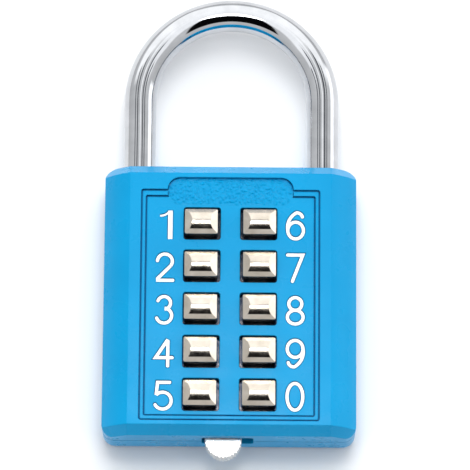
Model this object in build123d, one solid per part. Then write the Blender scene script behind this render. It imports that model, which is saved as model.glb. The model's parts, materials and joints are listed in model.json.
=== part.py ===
from build123d import *
import os
from math import cos, hypot, pi, radians, sin

# Push-button combination padlock, in millimetres. It lies on its back:
# +X to the right, +Y towards the shackle, +Z out of the keypad.
# The origin is the centre of the body's flat back.

# ---- body ----
BODY_W = 47.0
BODY_H = 51.6
BODY_T = 15.0
CORNER_R = 2.4
PARTING_Z = 7.5
HALF_W = BODY_W / 2
HALF_H = BODY_H / 2
SIDE_BEVEL_W = 4.75
SIDE_BEVEL_DEPTH = 5.0
BEVEL_BULGE = 0.4
TOP_BEVEL_W = 2.25
TOP_BEVEL_DEPTH = 4.0
FOOT_BEVEL_W = 1.65
FOOT_BEVEL_DEPTH = 2.5
BACK_ROUND = 2.2
PROFILE_EXCESS = 0.6
BEVEL_REACH = 1.3
PARTING_GROOVE_W = 0.25
PARTING_GROOVE_H = 0.2

# ---- keypad face ----
FRAME_W = 33.3
FRAME_BOTTOM = -23.4
FRAME_TOP = 20.4
FRAME_R = 0.5
STEP_DEPTH = 0.3
PANEL_W = 31.6
PANEL_BOTTOM = -22.53
PANEL_TOP = 19.3
PANEL_R = 0.4
PANEL_Z = BODY_T - 2 * STEP_DEPTH
PLAQUE_W = 23.4
PLAQUE_BOTTOM = 17.5
PLAQUE_TOP = 22.7
PLAQUE_R = 2.3
GROOVE_W = 0.28
GROOVE_DEPTH = 0.3
WALL_UNDERSIDE = 12.4
NUMERAL_DEPTH = 0.35
NUMERAL_X = 12.1
NUMERAL_DROP = 0.42
NUMERAL_TRENCH = 0.12
FILLING_BELOW_PANEL = 0.08
STROKE_W = 0.6
ONE_STROKE_W = 0.85
FLAG_W = 0.36

# ---- inside of the body ----
CAVITY_HALF_W = 13.1
CAVITY_BOTTOM = -22.0
CAVITY_TOP = 20.5
CAVITY_R = 1.0
BACK_WALL = 1.6
SLOT_LEFT = -5.0
SLOT_RIGHT = 4.55
SLOT_LOW = 5.3
SLOT_HIGH = 10.5
SLOT_R = 0.7
RAIL_TOP = 4.1
RAIL_W = 1.9

# ---- shackle ----
BAR_R = 3.0
BORE_R = 3.1
LEG_X = 17.2
LEG_Z = 7.5
SPRINGLINE = 39.3
LIFT = 11.0
TOE_END = 15.2
TOE_BORE_END = 13.6
HEEL_END = -3.0
HEEL_BORE_END = -16.0
STOP_PIN_R = 1.0
STOP_PIN_X = 14.4
STOP_PIN_Y = 14.0
STOP_PIN_LOW = 3.0
BAR_END_CHAMFER = 0.5
NECK_R = 1.7
NECK_LENGTH = 2.4
LATCH_FLAT_X = -15.7

# ---- buttons ----
ROW_TOP = 14.1
ROW_PITCH = 8.1
ROWS = 5
HOLE_X = 5.25
HOLE_W = 6.9
HOLE_H = 6.2
HOLE_R = 0.5
HOLE_DROP = 0.15
CAP_X = 5.42
CAP_W = 6.1
CAP_H = 4.7
CAP_R = 0.3
CAP_SHOULDER_Z = 15.5
CAP_EDGE_Z = 16.15
CAP_CROWN_Z = 16.5
CAP_SIDE_BEVEL = 1.35
CAP_END_BEVEL = 0.8
FLANGE_W = 7.6
FLANGE_H = 6.9
FLANGE_DROP = 0.1
FLANGE_T = 1.0
FLANGE_TOP = WALL_UNDERSIDE - 0.05
STEM_W = 3.0
STEM_H = 2.4
STEM_END = 3.6

# ---- plates and slide ----
GUIDE_LOW = 7.6
GUIDE_T = 1.0
GUIDE_TOP_Y = 16.9
DETENT_LOW = 6.4
DETENT_T = 0.8
DETENT_TRAVEL = 0.6
DETENT_HALF_W = 9.8
DETENT_TOP_Y = 16.2
DETENT_BOTTOM_Y = -20.6
SLIDE_LOW = 4.2
SLIDE_T = 1.2
SLIDE_TRAVEL = 2.0
SLIDE_LEFT = -12.4
SLIDE_RIGHT = 10.6
SLIDE_BOTTOM_Y = -21.6
SLIDE_TOP_Y = 19.8
RUN_GAP = 0.2
TAB_X = -1.0
TAB_R = 3.4
TAB_Y = -26.0
TAB_LOW = 5.75
TAB_HIGH = 9.9
KNURLS = 16
KNURL_R = 0.34
TONGUE_TOP = 6.2
TONGUE_HALF_W = 1.9
TONGUE_END_Y = -15.9
TAB_RIVET_R = 0.6
TAB_RIVET_ROWS = [-20.4, -17.0]
BOLT_Y = 18.5
BOLT_H = 2.8
BOLT_TIP = -15.5
BOLT_END = -7.4
BOLT_LOW = 5.6
BOLT_HIGH = 9.4
BOLT_NOSE = 0.6
DRIVE_PEG_X = -10.3
DRIVE_PEG_W = 1.2
DRIVE_PEG_HALF_H = 0.8
DRIVE_PEG_TOP = 7.0
PEG_PLAY = 0.05
SPRING_POST_X = -0.8
SPRING_POST_HALF_W = 0.8
SLIDE_SPRING_Y = 1.95
SLIDE_SPRING_NOTCH_X = 5.8
SLIDE_SPRING_NOTCH_HALF_H = 1.1
DETENT_SPRING_X = 6.0

# ---- fasteners ----
RIVETS = [(-9.0, 23.0), (9.0, 23.0), (-18.2, -20.6), (18.2, -20.6)]
RIVET_R = 1.25
RIVET_HEAD_R = 1.9
RIVET_HEAD_T = 1.0
RIVET_TOP = 12.0
BOSS_X = 11.4
BOSS_ROWS = [10.05, -14.25]
BOSS_R = 1.4
SCREW_R = 0.7
SCREW_HEAD_R = 1.25
SCREW_HEAD_T = 0.6
SCREW_TOP = 11.4
DRIVER_SLOT = (1.7, 0.3, 0.4)
STUDS = [(0.0, 13.0), (0.0, -6.15)]
STUD_R = 0.6
STUD_HEAD_R = 1.3
STUD_HEAD_T = 0.5
STUD_PLAY = 0.1

# ---- springs: (mean radius, wire radius, turns) ----
SHACKLE_COIL = (2.2, 0.3, 7)
BUTTON_COIL = (2.35, 0.2, 3)
DETENT_COIL = (0.6, 0.1, 5)
SLIDE_COIL = (0.75, 0.12, 7)
BOLT_COIL = (0.95, 0.15, 6)

CLEAR = 60.0
BELOW_BACK = -1.0


def box_between(x0, x1, y0, y1, z0, z1):
    """A box from its low and high corners."""
    return Pos((x0 + x1) / 2, (y0 + y1) / 2, (z0 + z1) / 2) * Box(x1 - x0, y1 - y0, z1 - z0)


def rod(radius, z0, z1, x, y):
    """A round rod along Z."""
    return Pos(x, y, (z0 + z1) / 2) * Cylinder(radius, z1 - z0)


def rod_y(radius, y0, y1, x, z):
    """A round rod along Y."""
    return Pos(x, (y0 + y1) / 2, z) * Rot(90, 0, 0) * Cylinder(radius, y1 - y0)


def rounded_block(width, height, radius, x, y, z0, z1):
    """A block along Z with rounded upright edges."""
    return Pos(x, y, z0) * extrude(RectangleRounded(width, height, radius), z1 - z0)


def row_y(row):
    return ROW_TOP - row * ROW_PITCH


def key_places():
    """(numeral, side, y) of each button: 1 to 5 on the left, 6 to 9 and 0 on the right."""
    left = [(str(row + 1), -1, row_y(row)) for row in range(ROWS)]
    right = [(str((row + 6) % 10), 1, row_y(row)) for row in range(ROWS)]
    return left + right


# ---------------------------------------------------------------- body


def side_profile():
    """The body's bulging front bevels across X. It runs past the sides and the back."""
    flat = HALF_W - SIDE_BEVEL_W
    outer = HALF_W + PROFILE_EXCESS
    low = BODY_T - SIDE_BEVEL_DEPTH - PROFILE_EXCESS
    middle_x = (flat + outer) / 2 + BEVEL_BULGE
    middle_z = (BODY_T + low) / 2 + BEVEL_BULGE
    base = BELOW_BACK
    edges = [Line((-flat, BODY_T), (flat, BODY_T)), Line((-outer, base), (outer, base))]
    for side in (-1, 1):
        start = (side * flat, BODY_T)
        edges.append(ThreePointArc(start, (side * middle_x, middle_z), (side * outer, low)))
        edges.append(Line((side * outer, low), (side * outer, base)))
    return make_face(edges)


def end_slope(y, run, depth):
    """The side profile sinking by depth over a run along Y, which makes one end's bevel."""
    face = Plane.XZ.offset(-y) * side_profile()
    return extrude(face, BEVEL_REACH * hypot(run, depth), dir=(0, run, -depth))


def body_blank():
    block = extrude(RectangleRounded(BODY_W, BODY_H, CORNER_R), BODY_T)
    block = fillet(block.faces().sort_by(Axis.Z)[0].edges(), BACK_ROUND)
    top = HALF_H - TOP_BEVEL_W
    foot = -HALF_H + FOOT_BEVEL_W
    prism = Plane.XZ.offset(-top) * extrude(side_profile(), top - foot)
    prism += end_slope(top, TOP_BEVEL_W, TOP_BEVEL_DEPTH)
    prism += end_slope(foot, -FOOT_BEVEL_W, FOOT_BEVEL_DEPTH)
    return block & prism


def body_hollows():
    """Everything cut from both shells: the mechanism's room, bores, slot and rivet holes."""
    room = rounded_block(
        2 * CAVITY_HALF_W,
        CAVITY_TOP - CAVITY_BOTTOM,
        CAVITY_R,
        0,
        (CAVITY_TOP + CAVITY_BOTTOM) / 2,
        BACK_WALL,
        WALL_UNDERSIDE,
    )
    slot_w = SLOT_RIGHT - SLOT_LEFT
    slot_h = SLOT_HIGH - SLOT_LOW
    slot = extrude(RectangleRounded(slot_w, slot_h, SLOT_R), CLEAR)
    slot = Pos((SLOT_LEFT + SLOT_RIGHT) / 2, CAVITY_BOTTOM + 1, (SLOT_LOW + SLOT_HIGH) / 2) * (
        Rot(90, 0, 0) * slot
    )
    window = box_between(
        -LEG_X,
        -CAVITY_HALF_W + 1,
        BOLT_Y - BOLT_H / 2 - RUN_GAP,
        BOLT_Y + BOLT_H / 2 + RUN_GAP,
        BOLT_LOW - RUN_GAP,
        BOLT_HIGH + RUN_GAP,
    )
    cuts = [
        room,
        slot,
        window,
        rod_y(BORE_R, TOE_BORE_END, CLEAR, -LEG_X, LEG_Z),
        rod_y(BORE_R, HEEL_BORE_END, CLEAR, LEG_X, LEG_Z),
        shackle_stop_pin(),
    ]
    for x, y in RIVETS:
        cuts.append(rivet(x, y))
    return cuts


def recess_outline(width, bottom, top, radius):
    """A rounded rectangle with the plaque's arch standing on its top edge."""
    field = Pos(0, (top + bottom) / 2) * RectangleRounded(width, top - bottom, radius)
    arch = RectangleRounded(PLAQUE_W, PLAQUE_TOP - PLAQUE_BOTTOM, PLAQUE_R)
    return field + Pos(0, (PLAQUE_TOP + PLAQUE_BOTTOM) / 2) * arch


def sunk_step(outline, floor):
    """A step down to a floor, with a fine groove at the foot of its wall."""
    step = Pos(0, 0, floor) * extrude(outline, CLEAR)
    ring = outline - offset(outline, -GROOVE_W)
    return [step, Pos(0, 0, floor - GROOVE_DEPTH) * extrude(ring, CLEAR)]


def keypad_recess():
    """The keypad's two steps: a narrow ledge and the panel, both open to the plaque."""
    frame = recess_outline(FRAME_W, FRAME_BOTTOM, FRAME_TOP, FRAME_R)
    panel = recess_outline(PANEL_W, PANEL_BOTTOM, PANEL_TOP, PANEL_R)
    return sunk_step(frame, PANEL_Z + STEP_DEPTH) + sunk_step(panel, PANEL_Z)


def front_shell(blank, hollows):
    upper = box_between(-CLEAR, CLEAR, -CLEAR, CLEAR, PARTING_Z, CLEAR)
    shell = blank & upper
    shell -= hollows
    shell -= keypad_recess()
    for numeral, side, y in key_places():
        middle = y - HOLE_DROP
        low = WALL_UNDERSIDE - 1
        shell -= rounded_block(HOLE_W, HOLE_H, HOLE_R, side * HOLE_X, middle, low, CLEAR)
    shell -= numeral_solids(PANEL_Z - NUMERAL_DEPTH, PANEL_Z + 1, 2 * NUMERAL_TRENCH)
    for x in (-BOSS_X, BOSS_X):
        for y in BOSS_ROWS:
            shell += rod(BOSS_R, GUIDE_LOW + GUIDE_T, WALL_UNDERSIDE, x, y)
            shell -= rod(SCREW_R, GUIDE_LOW, SCREW_TOP, x, y)
    post = box_between(
        SPRING_POST_X - SPRING_POST_HALF_W,
        SPRING_POST_X + SPRING_POST_HALF_W,
        BOLT_Y - BOLT_H / 2,
        CAVITY_TOP,
        BOLT_LOW + RUN_GAP,
        WALL_UNDERSIDE,
    )
    return shell + post


def rear_shell(blank, hollows):
    lower = box_between(-CLEAR, CLEAR, -CLEAR, CLEAR, BELOW_BACK, PARTING_Z)
    shell = blank & lower
    shell -= hollows
    for y in (CAVITY_BOTTOM, CAVITY_TOP - RAIL_W):
        shell += box_between(-CAVITY_HALF_W, CAVITY_HALF_W, y, y + RAIL_W, BACK_WALL, RAIL_TOP)
    return shell - parting_groove()


def parting_groove():
    """The fine groove round the body where the two shells meet."""
    low = PARTING_Z - PARTING_GROOVE_H
    width = BODY_W - 2 * PARTING_GROOVE_W
    height = BODY_H - 2 * PARTING_GROOVE_W
    core = rounded_block(width, height, CORNER_R - PARTING_GROOVE_W, 0, 0, 0, CLEAR)
    return box_between(-CLEAR, CLEAR, -CLEAR, CLEAR, low, PARTING_Z + 1) - core


# ---------------------------------------------------------------- numerals


def arc(cx, cy, radius, start, sweep):
    """An arc about a centre, from a start angle through a sweep, in degrees."""
    def at(angle):
        return (cx + radius * cos(radians(angle)), cy + radius * sin(radians(angle)))

    return ThreePointArc(at(start), at(start + sweep / 2), at(start + sweep))


def ring(rx, ry, y):
    """A closed oval stroke centred on x = 0."""
    return Ellipse(rx, ry).edges()[0].moved(Location((0, y, 0)))


def numeral_strokes():
    """Centre lines of each numeral, about its own middle."""
    return {
        "1": [Line((0.92, -2.75), (0.92, 2.75))],
        "2": [
            arc(0, 1.12, 1.38, 175, -215),
            Line((1.057, 0.233), (-1.45, -2.3)),
            Line((-1.6, -2.5), (1.5, -2.5)),
        ],
        "3": [arc(-0.05, 1.3, 1.2, 160, -245), arc(-0.05, -1.1, 1.42, 86, -246)],
        "4": [
            Line((0.75, -2.5), (0.75, 2.38)),
            Line((0.75, 2.5), (-1.5, -0.95)),
            Line((-1.5, -0.95), (1.55, -0.95)),
        ],
        "5": [
            Line((1.15, 2.5), (-1.05, 2.5)),
            Line((-1.05, 2.5), (-1.3, 0.1)),
            arc(-0.1, -0.92, 1.58, 140, -290),
        ],
        "6": [
            ring(1.45, 1.6, -0.9),
            ThreePointArc((-1.45, -0.9), (-1.15, 1.15), (0.15, 2.5)),
            ThreePointArc((0.15, 2.5), (0.85, 2.3), (1.25, 1.7)),
        ],
        "7": [Line((-1.45, 2.5), (1.35, 2.5)), Line((1.35, 2.5), (-0.55, -2.5))],
        "8": [ring(1.2, 1.2, 1.3), ring(1.45, 1.3, -1.2)],
        "9": [
            ring(1.45, 1.6, 0.9),
            ThreePointArc((1.45, 0.9), (1.15, -1.15), (-0.15, -2.5)),
            ThreePointArc((-0.15, -2.5), (-0.85, -2.3), (-1.25, -1.7)),
        ],
        "0": [ring(1.45, 2.5, 0)],
    }


def rounded_ends():
    """Where a numeral's stroke ends free and is rounded off."""
    return {
        "2": [(-1.375, 1.24), (1.5, -2.5)],
        "3": [(-1.178, 1.71), (-1.384, -1.586)],
        "4": [(0.75, -2.5), (1.55, -0.95)],
        "5": [(1.15, 2.5), (-1.468, -1.71)],
        "6": [(1.25, 1.7)],
        "7": [(-1.45, 2.5), (-0.55, -2.5)],
        "9": [(-1.25, -1.7)],
    }


def numeral_face(numeral, extra):
    """One numeral's outline, each stroke wider by extra."""
    width = extra + (ONE_STROKE_W if numeral == "1" else STROKE_W)
    face = trace(numeral_strokes()[numeral], line_width=width)
    for x, y in rounded_ends().get(numeral, []):
        face += Pos(x, y) * Circle(width / 2)
    if numeral == "1":
        flag = ThreePointArc((-1.0, 1.72), (0.0, 1.95), (0.75, 2.55))
        face += trace(flag, line_width=FLAG_W + extra)
    return face


def numeral_solids(z0, z1, extra):
    """All ten numerals as blocks between two heights."""
    return [
        Pos(side * NUMERAL_X, y - NUMERAL_DROP, z0) * extrude(numeral_face(numeral, extra), z1 - z0)
        for numeral, side, y in key_places()
    ]


# ---------------------------------------------------------------- shackle


def shackle():
    crown_top = SPRINGLINE + LEG_X
    path = (
        Line((-LEG_X, TOE_END), (-LEG_X, SPRINGLINE))
        + ThreePointArc((-LEG_X, SPRINGLINE), (0, crown_top), (LEG_X, SPRINGLINE))
        + Line((LEG_X, SPRINGLINE), (LEG_X, HEEL_END))
    )
    section = Plane((-LEG_X, TOE_END, 0), z_dir=(0, 1, 0)) * Circle(BAR_R)
    bar = Pos(0, 0, LEG_Z) * sweep(section, path)
    ends = [e for e in bar.edges() if e.geom_type == GeomType.CIRCLE and e.center().Y < TOE_END + 1]
    bar = chamfer(ends, BAR_END_CHAMFER)
    bolt_top = BOLT_Y + BOLT_H / 2 + RUN_GAP
    latch = box_between(LATCH_FLAT_X, 0, TOE_END - 1, bolt_top, 0, 2 * LEG_Z)
    travel_low = STOP_PIN_Y - LIFT - STOP_PIN_R - 0.1
    travel_high = STOP_PIN_Y + STOP_PIN_R + 0.4
    channel = box_between(0, LEG_X - NECK_R, travel_low, travel_high, 0, 2 * LEG_Z)
    collar = rod_y(BAR_R + 1, travel_low, travel_low + NECK_LENGTH, LEG_X, LEG_Z)
    collar -= rod_y(NECK_R, travel_low - 1, travel_low + NECK_LENGTH + 1, LEG_X, LEG_Z)
    return bar - latch - channel - collar


def coil(spring, length):
    """A helical spring standing on z = 0, the given length from end to end."""
    mean_r, wire_r, turns = spring
    rise = length - 2 * wire_r
    path = Pos(0, 0, wire_r) * Helix(pitch=rise / turns, height=rise, radius=mean_r)
    section = Plane(origin=path @ 0, z_dir=path % 0) * Circle(wire_r)
    return sweep(section, path, is_frenet=True)


def shackle_spring():
    length = HEEL_END - HEEL_BORE_END
    return Pos(LEG_X, HEEL_BORE_END, LEG_Z) * Rot(-90, 0, 0) * coil(SHACKLE_COIL, length)


def shackle_stop_pin():
    return rod(STOP_PIN_R, STOP_PIN_LOW, RIVET_TOP, STOP_PIN_X, STOP_PIN_Y)


# ---------------------------------------------------------------- buttons


def cap_side_profile():
    """The cap across X: upright sides and a bevel up to the crowned top."""
    half = CAP_W / 2
    top = half - CAP_SIDE_BEVEL
    points = [
        (-half, 0),
        (half, 0),
        (half, CAP_SHOULDER_Z),
        (top, CAP_CROWN_Z),
        (-top, CAP_CROWN_Z),
        (-half, CAP_SHOULDER_Z),
    ]
    return make_face(Polyline(*points, close=True))


def cap_end_profile():
    """The cap along Y, drawn as (y, z): its top is an arc about an axis along X."""
    half = CAP_H / 2
    top = half - CAP_END_BEVEL
    edges = Polyline(
        (top, CAP_EDGE_Z),
        (half, CAP_SHOULDER_Z),
        (half, 0),
        (-half, 0),
        (-half, CAP_SHOULDER_Z),
        (-top, CAP_EDGE_Z),
    )
    crown = ThreePointArc((-top, CAP_EDGE_Z), (0, CAP_CROWN_Z), (top, CAP_EDGE_Z))
    return make_face(edges + crown)


def button():
    """One button about its own axis: bevelled cap, retaining flange and stem."""
    low = FLANGE_TOP - FLANGE_T
    across = Plane.XZ.offset(-CAP_H) * extrude(cap_side_profile(), 2 * CAP_H)
    along = Plane.YZ.offset(-CAP_W) * extrude(cap_end_profile(), 2 * CAP_W)
    head = rounded_block(CAP_W, CAP_H, CAP_R, 0, 0, low, CLEAR)
    cap = head & across & along
    flange = rounded_block(FLANGE_W, FLANGE_H, HOLE_R, 0, -FLANGE_DROP, low, FLANGE_TOP)
    stem = box_between(-STEM_W / 2, STEM_W / 2, -STEM_H / 2, STEM_H / 2, STEM_END, low + 0.1)
    return cap + flange + stem


def button_spring():
    seat = GUIDE_LOW + GUIDE_T
    return Pos(0, 0, seat) * coil(BUTTON_COIL, FLANGE_TOP - FLANGE_T - seat)


# ---------------------------------------------------------------- plates


def guide_plate():
    low_y = CAVITY_BOTTOM + RUN_GAP
    width = 2 * (CAVITY_HALF_W - RUN_GAP)
    middle = (low_y + GUIDE_TOP_Y) / 2
    top = GUIDE_LOW + GUIDE_T
    plate = rounded_block(width, GUIDE_TOP_Y - low_y, CAVITY_R, 0, middle, GUIDE_LOW, top)
    for numeral, side, y in key_places():
        plate -= Pos(side * CAP_X, y, GUIDE_LOW) * Box(STEM_W + RUN_GAP, STEM_H + RUN_GAP, CLEAR)
    for x in (-BOSS_X, BOSS_X):
        for y in BOSS_ROWS:
            plate -= guide_screw(x, y)
    for x, y in STUDS:
        plate -= rod(STUD_R, 0, CLEAR, x, y)
    return plate


def guide_screw(x, y):
    """Countersunk screw from the back of the guide plate into a boss of the front shell."""
    middle = GUIDE_LOW + SCREW_HEAD_T / 2
    head = Pos(x, y, middle) * Cone(SCREW_HEAD_R, SCREW_R, SCREW_HEAD_T)
    return head + rod(SCREW_R, GUIDE_LOW, SCREW_TOP, x, y)


def driven_guide_screw(x, y):
    return guide_screw(x, y) - Pos(x, y, GUIDE_LOW) * Box(*DRIVER_SLOT)


def detent_stud(x, y):
    """Headed stud that hangs the detent plate under the guide plate."""
    shoulder = DETENT_LOW - STUD_PLAY
    head = rod(STUD_HEAD_R, shoulder - STUD_HEAD_T, shoulder, x, y)
    return head + rod(STUD_R, shoulder, GUIDE_LOW + GUIDE_T, x, y)


def detent_plate():
    plate = box_between(
        -DETENT_HALF_W,
        DETENT_HALF_W,
        DETENT_BOTTOM_Y,
        DETENT_TOP_Y,
        DETENT_LOW,
        DETENT_LOW + DETENT_T,
    )
    for numeral, side, y in key_places():
        low = y - STEM_H / 2 - RUN_GAP - DETENT_TRAVEL
        high = y + STEM_H / 2 + RUN_GAP
        half = STEM_W / 2 + RUN_GAP
        x = side * CAP_X
        plate -= box_between(x - half, x + half, low, high, 0, CLEAR)
    for x, y in STUDS:
        half = STUD_R + STUD_PLAY
        plate -= box_between(x - half, x + half, y - half - DETENT_TRAVEL, y + half, 0, CLEAR)
    return plate


def detent_spring():
    """Between the detent plate's top edge and the body's wall, along Y."""
    length = CAVITY_TOP - DETENT_TOP_Y
    middle = DETENT_LOW + DETENT_T / 2
    return Pos(DETENT_SPRING_X, DETENT_TOP_Y, middle) * Rot(-90, 0, 0) * coil(DETENT_COIL, length)


def release_slide():
    plate = box_between(
        SLIDE_LEFT, SLIDE_RIGHT, SLIDE_BOTTOM_Y, SLIDE_TOP_Y, SLIDE_LOW, SLIDE_LOW + SLIDE_T
    )
    for numeral, side, y in key_places():
        x = side * CAP_X
        left = x - STEM_W / 2 - RUN_GAP - SLIDE_TRAVEL
        right = x + STEM_W / 2 + RUN_GAP
        half = STEM_H / 2 + RUN_GAP
        plate -= box_between(left, right, y - half, y + half, 0, CLEAR)
    notch_low = SLIDE_SPRING_Y - SLIDE_SPRING_NOTCH_HALF_H
    notch_high = SLIDE_SPRING_Y + SLIDE_SPRING_NOTCH_HALF_H
    plate -= box_between(SLIDE_SPRING_NOTCH_X, CLEAR, notch_low, notch_high, 0, CLEAR)
    for y in TAB_RIVET_ROWS:
        plate -= rod(TAB_RIVET_R, 0, CLEAR, TAB_X, y)
    peg = box_between(
        DRIVE_PEG_X - DRIVE_PEG_W / 2,
        DRIVE_PEG_X + DRIVE_PEG_W / 2,
        BOLT_Y - DRIVE_PEG_HALF_H,
        BOLT_Y + DRIVE_PEG_HALF_H,
        SLIDE_LOW,
        DRIVE_PEG_TOP,
    )
    return plate + peg


def slide_spring():
    """In the slide's notch, pushing it away from the body's right wall, along X."""
    length = CAVITY_HALF_W - SLIDE_SPRING_NOTCH_X
    middle = SLIDE_LOW + SLIDE_T / 2
    spring = coil(SLIDE_COIL, length)
    return Pos(SLIDE_SPRING_NOTCH_X, SLIDE_SPRING_Y, middle) * Rot(0, 90, 0) * spring


def tab_rivet(y):
    return rod(TAB_RIVET_R, SLIDE_LOW, TONGUE_TOP, TAB_X, y)


def release_tab():
    """Half-round finger tab with a knurled rim, and the tongue riveted to the slide."""
    disc = rod(TAB_R, TAB_LOW, TAB_HIGH, TAB_X, TAB_Y)
    for n in range(KNURLS):
        angle = pi + pi * (n + 0.5) / KNURLS
        x = TAB_X + (TAB_R + 0.12) * cos(angle)
        y = TAB_Y + (TAB_R + 0.12) * sin(angle)
        disc -= rod(KNURL_R, TAB_LOW - 1, TAB_HIGH + 1, x, y)
    disc &= box_between(-CLEAR, CLEAR, -CLEAR, TAB_Y, 0, CLEAR)
    neck = box_between(TAB_X - TAB_R, TAB_X + TAB_R, TAB_Y, CAVITY_BOTTOM - 0.3, TAB_LOW, TAB_HIGH)
    tongue = box_between(
        TAB_X - TONGUE_HALF_W,
        TAB_X + TONGUE_HALF_W,
        CAVITY_BOTTOM - 1,
        TONGUE_END_Y,
        SLIDE_LOW + SLIDE_T,
        TONGUE_TOP,
    )
    tab = disc + neck + tongue
    for y in TAB_RIVET_ROWS:
        tab -= rod(TAB_RIVET_R, 0, CLEAR, TAB_X, y)
    return tab


def locking_bolt():
    bolt = box_between(
        BOLT_TIP, BOLT_END, BOLT_Y - BOLT_H / 2, BOLT_Y + BOLT_H / 2, BOLT_LOW, BOLT_HIGH
    )
    nose = [e for e in bolt.edges().filter_by(Axis.Z) if e.center().X < BOLT_TIP + 0.1]
    bolt = chamfer(nose, BOLT_NOSE)
    half_w = DRIVE_PEG_W / 2 + PEG_PLAY
    half_h = DRIVE_PEG_HALF_H + PEG_PLAY
    low, high = BOLT_Y - half_h, BOLT_Y + half_h
    top = DRIVE_PEG_TOP + RUN_GAP
    return bolt - box_between(DRIVE_PEG_X - half_w, DRIVE_PEG_X + half_w, low, high, 0, top)


def bolt_spring():
    length = SPRING_POST_X - SPRING_POST_HALF_W - BOLT_END
    middle = (BOLT_LOW + BOLT_HIGH) / 2
    return Pos(BOLT_END, BOLT_Y, middle) * Rot(0, 90, 0) * coil(BOLT_COIL, length)


# ---------------------------------------------------------------- fasteners


def rivet(x, y):
    """Flush rivet from the back: countersunk head and plain shank."""
    head = Pos(x, y, RIVET_HEAD_T / 2) * Cone(RIVET_HEAD_R, RIVET_R, RIVET_HEAD_T)
    return head + rod(RIVET_R, 0, RIVET_TOP, x, y)


def save(name, shape):
    export_step(shape, f"parts/{name}.step")


def main():
    os.makedirs("parts", exist_ok=True)
    blank = body_blank()
    hollows = body_hollows()
    save("front_shell", front_shell(blank, hollows))
    save("rear_shell", rear_shell(blank, hollows))
    save("case_rivets", Compound([rivet(x, y) for x, y in RIVETS]))
    fill = numeral_solids(PANEL_Z - NUMERAL_DEPTH, PANEL_Z - FILLING_BELOW_PANEL, 0)
    save("numeral_filling", Compound(fill))
    save("shackle", shackle())
    save("shackle_spring", shackle_spring())
    save("shackle_stop_pin", shackle_stop_pin())
    save("guide_plate", guide_plate())
    screws = [driven_guide_screw(x, y) for x in (-BOSS_X, BOSS_X) for y in BOSS_ROWS]
    save("guide_plate_screws", Compound(screws))
    save("detent_studs", Compound([detent_stud(x, y) for x, y in STUDS]))
    save("detent_plate", detent_plate())
    save("detent_spring", detent_spring())
    save("release_slide", release_slide())
    save("slide_spring", slide_spring())
    save("release_tab", release_tab())
    save("tab_rivets", Compound([tab_rivet(y) for y in TAB_RIVET_ROWS]))
    save("locking_bolt", locking_bolt())
    save("bolt_spring", bolt_spring())
    key = button()
    spring = button_spring()
    for numeral, side, y in key_places():
        save(f"button_{numeral}", Pos(side * CAP_X, y, 0) * key)
        save(f"button_{numeral}_spring", Pos(side * CAP_X, y, 0) * spring)


main()
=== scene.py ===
import json
import math

import bmesh
import bpy
from mathutils import Matrix, Vector, noise


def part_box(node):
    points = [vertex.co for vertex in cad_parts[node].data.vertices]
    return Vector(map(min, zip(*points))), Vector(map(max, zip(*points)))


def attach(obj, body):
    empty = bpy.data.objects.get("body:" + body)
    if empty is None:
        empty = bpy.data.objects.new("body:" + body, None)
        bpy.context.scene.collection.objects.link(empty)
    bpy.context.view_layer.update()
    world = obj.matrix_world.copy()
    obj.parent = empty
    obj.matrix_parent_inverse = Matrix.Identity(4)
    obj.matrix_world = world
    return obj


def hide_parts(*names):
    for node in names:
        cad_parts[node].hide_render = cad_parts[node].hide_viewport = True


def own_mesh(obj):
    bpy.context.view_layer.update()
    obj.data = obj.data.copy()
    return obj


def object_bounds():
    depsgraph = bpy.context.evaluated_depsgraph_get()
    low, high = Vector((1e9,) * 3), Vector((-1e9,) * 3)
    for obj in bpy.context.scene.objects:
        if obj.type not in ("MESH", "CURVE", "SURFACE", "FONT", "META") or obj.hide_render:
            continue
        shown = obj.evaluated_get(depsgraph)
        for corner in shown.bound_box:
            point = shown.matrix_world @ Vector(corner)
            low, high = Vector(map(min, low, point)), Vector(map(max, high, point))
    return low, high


# The looks of a push-button padlock lying on its back on a pale table.
# Metres, in the frame of the CAD model: +X right, +Y towards the shackle, +Z out of the keypad.

MM = 0.001

# ---- camera: above the keypad, leaning towards the foot of the lock ----
CAMERA_TILT = math.radians(14.19)
CAMERA_ROLL = math.radians(0.473)
CAMERA_DISTANCE = 0.7
CAMERA_LENS = 285.9
SENSOR_WIDTH = 36.0
AIM_OFFSET = Vector((0.85 * MM, -1.5 * MM, 0.0))
AIM_HEIGHT = 7.5 * MM

# ---- plaque above the keys: a stippled field sunk into the body's face ----
PLAQUE_W = 23.4 * MM
PLAQUE_H = 5.2 * MM
PLAQUE_R = 2.3 * MM
PLAQUE_BELOW_TOP = 3.1 * MM
PANEL_BELOW_FACE = 0.6 * MM
FACE_HEIGHT = 15.0 * MM
STIPPLE_PITCH = 0.11 * MM
STIPPLE_HEIGHT = 0.28 * MM
STIPPLE_LIFT = 0.01 * MM
STIPPLE_EDGE = 0.5 * MM
GRAIN_SIZE = 0.42 * MM
GRAIN_SHARE = 0.12
FINE_GRAIN = 2.1
FINE_GRAIN_SHIFT = Vector((7.0, 3.0, 1.0))

# ---- materials ----
NOISE_LOW = 0.3
NOISE_HIGH = 0.7
# Painted shade: dark navy laid into the paint's grooves and corners, where little light reaches.
GROOVE_SHADE_COLOUR = (0.0, 0.12, 0.33)
# Painted shade: near-black laid into the metal's gaps and corners, where little light reaches.
GAP_SHADE_COLOUR = (0.004, 0.010, 0.022)

# ---- table ----
TABLE_HALF = 3.0
TABLE_GAP = 0.02 * MM
TABLE_COLOUR = (0.92, 0.92, 0.925, 1.0)

# ---- surroundings, with angles in degrees from straight up ----
SKY_STRENGTH = 0.84
TENT_COLOUR = (1.0, 1.01, 1.02)
TENT_LOW_COLOUR = (0.86, 0.87, 0.88)
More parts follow.
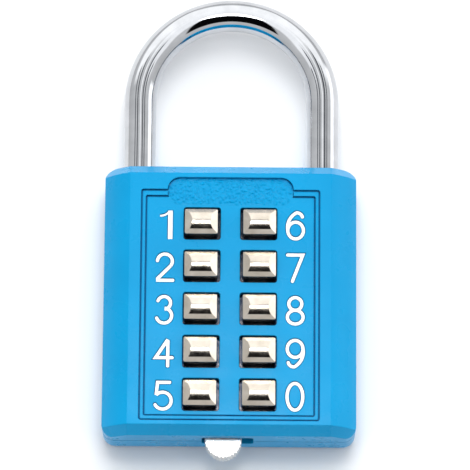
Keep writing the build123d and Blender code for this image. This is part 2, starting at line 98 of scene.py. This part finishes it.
# Each patch of sky: colour, lean towards +X, lean towards +Y, softness of its edge.
SKY_PATCHES = [
    ((1.95, 1.96, 1.97), (-60.0, 60.0), (25.0, 70.0), 3.0),
    ((1.75, 1.77, 1.80), (-40.0, 40.0), (-14.0, 9.0), 3.0),
    ((2.30, 2.32, 2.35), (60.0, 89.0), (5.0, 35.0), 2.0),
    ((1.90, 1.92, 1.94), (-9.0, 9.0), (7.0, 27.0), 1.5),
    ((0.10, 0.11, 0.13), (14.0, 20.0), (2.0, 26.0), 0.8),
    ((0.18, 0.19, 0.21), (28.0, 34.0), (2.0, 28.0), 0.8),
    ((0.10, 0.11, 0.13), (-23.0, -17.0), (2.0, 26.0), 0.8),
    ((0.20, 0.21, 0.23), (-39.0, -33.0), (2.0, 28.0), 0.8),
    ((0.05, 0.05, 0.06), (-4.8, 4.8), (14.0, 20.0), 0.7),
]
DARK_POLAR = (6.0, 57.0)
DARK_AZIMUTH = (-45.0, 45.0)
DARK_SOFTNESS = 1.5
DARK_COLOUR = (0.003, 0.003, 0.004)
TENT_DARKENS = (45.0, 85.0)

# ---- lamps: (name, place, aim, size, power, seen in reflections) ----
LAMPS = [
    ("key_light", (0.03, 0.30, 0.75), (0.0, 0.0, 0.0), 0.45, 2.5, False),
    ("foot_light", (0.0, 0.025, 0.26), (0.0, -0.02, 0.0), 0.06, 0.075, True),
]

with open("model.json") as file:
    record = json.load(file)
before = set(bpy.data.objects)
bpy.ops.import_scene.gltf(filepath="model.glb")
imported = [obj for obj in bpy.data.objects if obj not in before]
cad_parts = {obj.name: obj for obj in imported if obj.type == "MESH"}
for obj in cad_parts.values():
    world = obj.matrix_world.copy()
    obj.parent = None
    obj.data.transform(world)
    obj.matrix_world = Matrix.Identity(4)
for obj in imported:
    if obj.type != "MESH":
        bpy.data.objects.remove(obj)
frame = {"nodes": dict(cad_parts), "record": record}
cad_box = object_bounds()
nodes = frame["nodes"]


# ---------------------------------------------------------------- node helpers


def new_material(name):
    material = bpy.data.materials.new(name)
    material.use_nodes = True
    tree = material.node_tree
    shader = tree.nodes["Principled BSDF"]
    return material, tree, shader


def object_coordinates(tree):
    """Object coordinates, in metres."""
    return tree.nodes.new("ShaderNodeTexCoord").outputs["Object"]


def noise_texture(tree, place, feature, detail=2.0, roughness=0.5):
    """Noise whose features are about the given size in metres."""
    texture = tree.nodes.new("ShaderNodeTexNoise")
    texture.inputs["Scale"].default_value = 1.0 / feature
    texture.inputs["Detail"].default_value = detail
    texture.inputs["Roughness"].default_value = roughness
    tree.links.new(place, texture.inputs["Vector"])
    return texture.outputs["Fac"]


def remap(tree, value, low, high, out_low, out_high):
    node = tree.nodes.new("ShaderNodeMapRange")
    node.inputs["From Min"].default_value = low
    node.inputs["From Max"].default_value = high
    node.inputs["To Min"].default_value = out_low
    node.inputs["To Max"].default_value = out_high
    tree.links.new(value, node.inputs["Value"])
    return node.outputs["Result"]


def spread(tree, texture, out_low, out_high):
    """Stretch the range that a noise texture mostly keeps to over two new limits."""
    return remap(tree, texture, NOISE_LOW, NOISE_HIGH, out_low, out_high)


def mix_colours(tree, factor, first, second):
    """Mix of two colours by a factor socket. Each colour is a tuple or a socket."""
    node = tree.nodes.new("ShaderNodeMix")
    node.data_type = "RGBA"
    tree.links.new(factor, node.inputs["Factor"])
    for socket, colour in (("A", first), ("B", second)):
        target = [i for i in node.inputs if i.name == socket and i.type == "RGBA"][0]
        if isinstance(colour, tuple):
            target.default_value = colour + (1.0,)
        else:
            tree.links.new(colour, target)
    return [o for o in node.outputs if o.type == "RGBA"][0]


def bump(tree, height, depth, strength, under=None):
    """A bump of the given depth in metres, on top of another bump if one is given."""
    node = tree.nodes.new("ShaderNodeBump")
    node.inputs["Distance"].default_value = depth
    node.inputs["Strength"].default_value = strength
    tree.links.new(height, node.inputs["Height"])
    if under is not None:
        tree.links.new(under, node.inputs["Normal"])
    return node.outputs["Normal"]


def closeness(tree, distance):
    """1 in the open and 0 deep in a corner."""
    node = tree.nodes.new("ShaderNodeAmbientOcclusion")
    node.samples = 8
    node.inputs["Distance"].default_value = distance
    return node.outputs["AO"]


def rounded_normal(tree, radius):
    """Normals that round off sharp edges by a radius in metres."""
    node = tree.nodes.new("ShaderNodeBevel")
    node.samples = 4
    node.inputs["Radius"].default_value = radius
    return node.outputs["Normal"]


# ---------------------------------------------------------------- materials


def blue_paint():
    """Sprayed gloss paint: cloudy tone, painted shade in the grooves, faint orange peel."""
    material, tree, shader = new_material("blue_gloss_paint")
    place = object_coordinates(tree)
    cloud = spread(tree, noise_texture(tree, place, 14 * MM, 3.0), 0.0, 1.0)
    fresh = mix_colours(tree, cloud, (0.0, 0.28, 0.57), (0.0, 0.31, 0.62))
    # Painted shade: the paint turns dark navy where ambient occlusion finds a groove or corner.
    corner = remap(tree, closeness(tree, 0.9 * MM), 0.35, 0.8, 0.0, 1.0)
    colour = mix_colours(tree, corner, GROOVE_SHADE_COLOUR, fresh)
    tree.links.new(colour, shader.inputs["Base Color"])
    gloss = spread(tree, noise_texture(tree, place, 5 * MM, 3.0), 0.24, 0.34)
    tree.links.new(gloss, shader.inputs["Roughness"])
    shader.inputs["Specular IOR Level"].default_value = 0.14
    edges = rounded_normal(tree, 0.25 * MM)
    peel = bump(tree, noise_texture(tree, place, 1.1 * MM, 1.0), 0.012 * MM, 0.5, edges)
    grain = bump(tree, noise_texture(tree, place, 0.16 * MM, 2.0), 0.003 * MM, 0.4, peel)
    tree.links.new(grain, shader.inputs["Normal"])
    return material


def white_enamel():
    """Slightly uneven white enamel that fills the numerals."""
    material, tree, shader = new_material("white_numeral_enamel")
    place = object_coordinates(tree)
    tint = spread(tree, noise_texture(tree, place, 1.2 * MM, 3.0), 0.0, 1.0)
    colour = mix_colours(tree, tint, (0.93, 0.97, 1.0), (0.84, 0.93, 0.99))
    tree.links.new(colour, shader.inputs["Base Color"])
    shader.inputs["Roughness"].default_value = 0.35
    ripple = bump(tree, noise_texture(tree, place, 0.5 * MM, 2.0), 0.02 * MM, 0.5)
    tree.links.new(ripple, shader.inputs["Normal"])
    return material


def plated_metal(
    name, dark, light, rough, ripple_size, ripple_depth, shade=0.6 * MM, rounding=0.1 * MM
):
    """Plated metal: slight tone changes, uneven gloss, a rippled skin and painted shade that
    darkens its gaps and corners.
    """
    material, tree, shader = new_material(name)
    place = object_coordinates(tree)
    tone = spread(tree, noise_texture(tree, place, 3 * MM, 3.0), 0.0, 1.0)
    fresh = mix_colours(tree, tone, dark, light)
    # Painted shade: the metal turns near-black where ambient occlusion finds a gap or corner.
    gap_shade = remap(tree, closeness(tree, shade), 0.3, 0.7, 0.0, 1.0)
    colour = mix_colours(tree, gap_shade, GAP_SHADE_COLOUR, fresh)
    tree.links.new(colour, shader.inputs["Base Color"])
    gloss = noise_texture(tree, place, 1.1 * MM, 3.0)
    tree.links.new(spread(tree, gloss, rough[0], rough[1]), shader.inputs["Roughness"])
    shader.inputs["Metallic"].default_value = 1.0
    edges = rounded_normal(tree, rounding) if rounding else None
    ripples = bump(tree, noise_texture(tree, place, ripple_size, 3.0), ripple_depth, 0.6, edges)
    tree.links.new(ripples, shader.inputs["Normal"])
    return material


def object_materials():
    """Material of each of the record's slots."""
    return {
        "body_paint": blue_paint(),
        "white_enamel": white_enamel(),
        "shackle_chrome": plated_metal(
            "polished_chrome", (0.52, 0.53, 0.55), (0.60, 0.61, 0.63), (0.03, 0.07),
            0.9 * MM, 0.001 * MM, rounding=None,
        ),
        "button_nickel": plated_metal(
            "bright_nickel", (0.56, 0.50, 0.42), (0.70, 0.64, 0.56), (0.13, 0.22),
            0.26 * MM, 0.02 * MM, shade=2.2 * MM,
        ),
        "tab_nickel": plated_metal(
            "satin_nickel", (0.80, 0.77, 0.73), (0.92, 0.90, 0.87), (0.24, 0.36),
            0.35 * MM, 0.008 * MM,
        ),
        "plated_steel": plated_metal(
            "zinc_plated_steel", (0.50, 0.51, 0.53), (0.66, 0.67, 0.70), (0.28, 0.42),
            0.5 * MM, 0.006 * MM,
        ),
        "spring_wire": plated_metal(
            "spring_wire", (0.42, 0.43, 0.45), (0.55, 0.56, 0.58), (0.22, 0.32),
            0.4 * MM, 0.004 * MM,
        ),
    }


# ---------------------------------------------------------------- CAD nodes


def dress_cad_nodes(materials):
    slots = {s["node"]: s["material_slot"] for s in frame["record"]["subparts"]}
    for name, piece in nodes.items():
        piece.data.materials.clear()
        piece.data.materials.append(materials[slots[name]])


# ---------------------------------------------------------------- springs


def closing_coil(node):
    """A copy of a spring's coil, tied to the body in place of its CAD node, which is hidden."""
    piece = bpy.data.objects.new(node + "_coil", nodes[node].data.copy())
    bpy.context.scene.collection.objects.link(piece)
    piece.matrix_world = nodes[node].matrix_world.copy()
    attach(piece, "body")
    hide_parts(node)
    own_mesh(piece)


def closing_coils():
    """Every spring that its joint shortens. The lift spring lengthens, so it stays as it is."""
    for joint in frame["record"]["behaviour"]["joints"]:
        for row in joint.get("deforming_nodes", []):
            letter = row["mode"][-1]
            along = "xyz".index(letter)
            fixed = row["fixed_end_" + letter + "_m"]
            low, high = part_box(row["node"])
            moving = max((low[along], high[along]), key=lambda end: abs(end - fixed))
            if (moving - fixed) * joint["axis"][along] > 0:
                continue
            closing_coil(row["node"])


# ---------------------------------------------------------------- stippled plaque


def inside_rounded(x, y, half_w, half_h, radius):
    """Signed distance into a rounded rectangle: above 0 inside it."""
    dx = abs(x) - half_w + radius
    dy = abs(y) - half_h + radius
    outside = math.hypot(max(dx, 0.0), max(dy, 0.0)) + min(max(dx, dy), 0.0)
    return radius - outside


def stippled_plaque(material):
    """A pebbled skin of fine raised grains that lies on the plaque's sunk floor."""
    low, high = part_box("front_shell")
    middle = Vector(
        (
            (low.x + high.x) / 2,
            high.y - PLAQUE_BELOW_TOP - PLAQUE_H / 2,
            FACE_HEIGHT - PANEL_BELOW_FACE,
        )
    )
    columns = int(PLAQUE_W / STIPPLE_PITCH)
    rows = int(PLAQUE_H / STIPPLE_PITCH)
    mesh = bmesh.new()
    grid = {}
    for i in range(columns + 1):
        for j in range(rows + 1):
            x = -PLAQUE_W / 2 + PLAQUE_W * i / columns
            y = -PLAQUE_H / 2 + PLAQUE_H * j / rows
            depth = inside_rounded(x, y, PLAQUE_W / 2, PLAQUE_H / 2, PLAQUE_R)
            if depth < 0:
                continue
            rise = min(1.0, depth / STIPPLE_EDGE)
            here = Vector((x, y, 0.0)) / GRAIN_SIZE
            fine = noise.noise(here * FINE_GRAIN + FINE_GRAIN_SHIFT)
            grain = noise.noise(here) + 0.5 * fine
            z = STIPPLE_LIFT + STIPPLE_HEIGHT * rise * max(0.0, grain + GRAIN_SHARE)
            grid[i, j] = mesh.verts.new(middle + Vector((x, y, z)))
    for i in range(columns):
        for j in range(rows):
            corners = [(i, j), (i + 1, j), (i + 1, j + 1), (i, j + 1)]
            if all(c in grid for c in corners):
                mesh.faces.new([grid[c] for c in corners])
    data = bpy.data.meshes.new("plaque_stipple")
    mesh.to_mesh(data)
    mesh.free()
    for polygon in data.polygons:
        polygon.use_smooth = True
    piece = bpy.data.objects.new("plaque_stipple", data)
    bpy.context.scene.collection.objects.link(piece)
    data.materials.append(material)
    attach(piece, "body")


# ---------------------------------------------------------------- stage


def floor():
    half = TABLE_HALF
    data = bpy.data.meshes.new("table")
    corners = [(-half, -half, 0), (half, -half, 0), (half, half, 0), (-half, half, 0)]
    data.from_pydata(corners, [], [(0, 1, 2, 3)])
    piece = bpy.data.objects.new("table", data)
    piece.location.z = cad_box[0][2] - TABLE_GAP
    bpy.context.scene.collection.objects.link(piece)
    material, _, shader = new_material("pale_table")
    shader.inputs["Base Color"].default_value = TABLE_COLOUR
    shader.inputs["Roughness"].default_value = 0.85
    shader.inputs["Specular IOR Level"].default_value = 0.15
    data.materials.append(material)


def part_along(tree, way, direction):
    """How far a direction of view points along another direction, from -1 to 1."""
    node = tree.nodes.new("ShaderNodeVectorMath")
    node.operation = "DOT_PRODUCT"
    tree.links.new(way, node.inputs[0])
    node.inputs[1].default_value = direction
    return node.outputs["Value"]


def scalar_math(tree, operation, first, second=None):
    """A math node on two sockets, or on one if the second isn't given."""
    node = tree.nodes.new("ShaderNodeMath")
    node.operation = operation
    tree.links.new(first, node.inputs[0])
    if second is not None:
        tree.links.new(second, node.inputs[1])
    return node.outputs["Value"]


def in_band(tree, angle, low, high, soft):
    """1 where an angle lies between two limits in degrees, with soft ends."""
    rise = remap(tree, angle, math.radians(low - soft), math.radians(low + soft), 0.0, 1.0)
    fall = remap(tree, angle, math.radians(high - soft), math.radians(high + soft), 1.0, 0.0)
    return scalar_math(tree, "MULTIPLY", rise, fall)


def patch_of_sky(tree, across, along, across_limits, along_limits, soft):
    """1 inside a window of the sky given by its lean towards +X and towards +Y."""
    wide = in_band(tree, across, across_limits[0], across_limits[1], soft)
    deep = in_band(tree, along, along_limits[0], along_limits[1], soft)
    return scalar_math(tree, "MULTIPLY", wide, deep)


def studio():
    """A white tent with bright panels, thin dark gaps between them and a dark opening in front."""
    world = bpy.data.worlds.new("light_tent")
    bpy.context.scene.world = world
    world.use_nodes = True
    tree = world.node_tree
    background = tree.nodes["Background"]
    place = tree.nodes.new("ShaderNodeTexCoord")
    way = place.outputs["Generated"]
    up = part_along(tree, way, (0.0, 0.0, 1.0))
    right = part_along(tree, way, (1.0, 0.0, 0.0))
    back = part_along(tree, way, (0.0, 1.0, 0.0))
    front = part_along(tree, way, (0.0, -1.0, 0.0))
    across = scalar_math(tree, "ARCTAN2", right, up)
    along = scalar_math(tree, "ARCSINE", back)
    polar = scalar_math(tree, "ARCCOSINE", up)
    azimuth = scalar_math(tree, "ARCTAN2", right, front)
    low = remap(tree, polar, *map(math.radians, TENT_DARKENS), 0.0, 1.0)
    sky = mix_colours(tree, low, TENT_COLOUR, TENT_LOW_COLOUR)
    for colour, across_limits, along_limits, soft in SKY_PATCHES:
        inside = patch_of_sky(tree, across, along, across_limits, along_limits, soft)
        sky = mix_colours(tree, inside, sky, colour)
    opening = patch_of_sky(tree, azimuth, polar, DARK_AZIMUTH, DARK_POLAR, DARK_SOFTNESS)
    sky = mix_colours(tree, opening, sky, DARK_COLOUR)
    tree.links.new(sky, background.inputs["Color"])
    background.inputs["Strength"].default_value = SKY_STRENGTH


def soft_box(name, place, aim, size, power, in_reflections):
    light = bpy.data.lights.new(name, "AREA")
    light.shape = "DISK"
    light.size = size
    light.energy = power
    piece = bpy.data.objects.new(name, light)
    piece.visible_camera = False
    piece.visible_glossy = in_reflections
    piece.location = place
    piece.rotation_euler = (Vector(aim) - Vector(place)).to_track_quat("-Z", "Y").to_euler()
    bpy.context.scene.collection.objects.link(piece)


def camera():
    low, high = Vector(cad_box[0]), Vector(cad_box[1])
    aim = (low + high) / 2 + AIM_OFFSET
    aim.z = AIM_HEIGHT
    upward = Vector((0.0, math.cos(CAMERA_TILT), math.sin(CAMERA_TILT)))
    forward = Vector((0.0, math.sin(CAMERA_TILT), -math.cos(CAMERA_TILT)))
    right = Vector((1.0, 0.0, 0.0))
    x_axis = right * math.cos(CAMERA_ROLL) + upward * math.sin(CAMERA_ROLL)
    y_axis = upward * math.cos(CAMERA_ROLL) - right * math.sin(CAMERA_ROLL)
    data = bpy.data.cameras.new("camera")
    data.lens = CAMERA_LENS
    data.sensor_width = SENSOR_WIDTH
    piece = bpy.data.objects.new("camera", data)
    bpy.context.scene.collection.objects.link(piece)
    turn = Matrix((x_axis, y_axis, -forward)).transposed().to_4x4()
    piece.matrix_world = Matrix.Translation(aim - forward * CAMERA_DISTANCE) @ turn
    bpy.context.scene.camera = piece


bpy.context.scene.view_settings.view_transform = "Standard"
camera()
floor()
studio()
for lamp in LAMPS:
    soft_box(*lamp)
looks = object_materials()
dress_cad_nodes(looks)
closing_coils()
stippled_plaque(looks["body_paint"])
